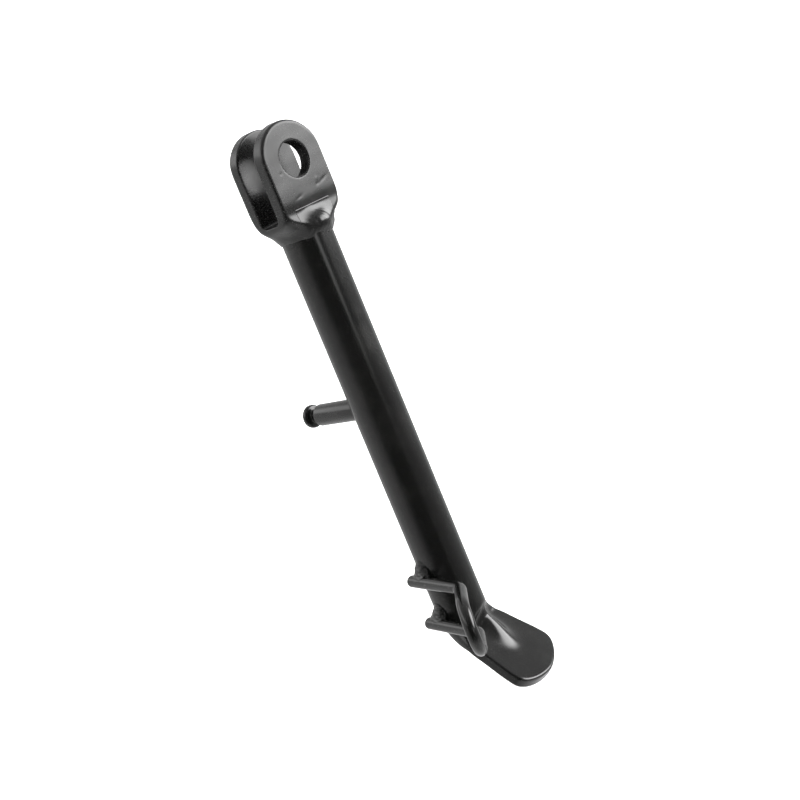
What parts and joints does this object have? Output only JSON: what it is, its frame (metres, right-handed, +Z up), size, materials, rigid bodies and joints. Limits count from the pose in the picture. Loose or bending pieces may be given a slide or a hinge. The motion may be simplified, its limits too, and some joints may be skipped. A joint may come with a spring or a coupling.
{
  "type": "motorcycle side stand",
  "caption": "Side stand with a forged pivot fork, straight tube leg, pressed flat foot, grooved spring post and bent rod foot tang.",
  "frame": {"origin": "on the pivot axis, midway between the fork's ears", "axes": "+X along the pivot axis, away from the spring post; +Z up the leg tube, so the foot is at -Z; +Y across the ears"},
  "size_m": [0.0924, 0.0669, 0.2582],
  "materials": {
    "forging": "gloss black powder coat on a forging",
    "tube": "gloss black powder coat on drawn tube",
    "turned": "gloss black powder coat on a turned pin",
    "rod": "gloss black powder coat on bent rod",
    "weld": "gloss black powder coat over weld bead"
  },
  "bodies": {
    "root": {"fork": "forging", "leg_tube": "tube", "spring_post": "turned", "foot_tang": "rod", "fork_weld": "weld", "spring_post_weld": "weld", "tang_weld_upper": "weld", "tang_weld_lower": "weld"}
  },
  "joints": []
}
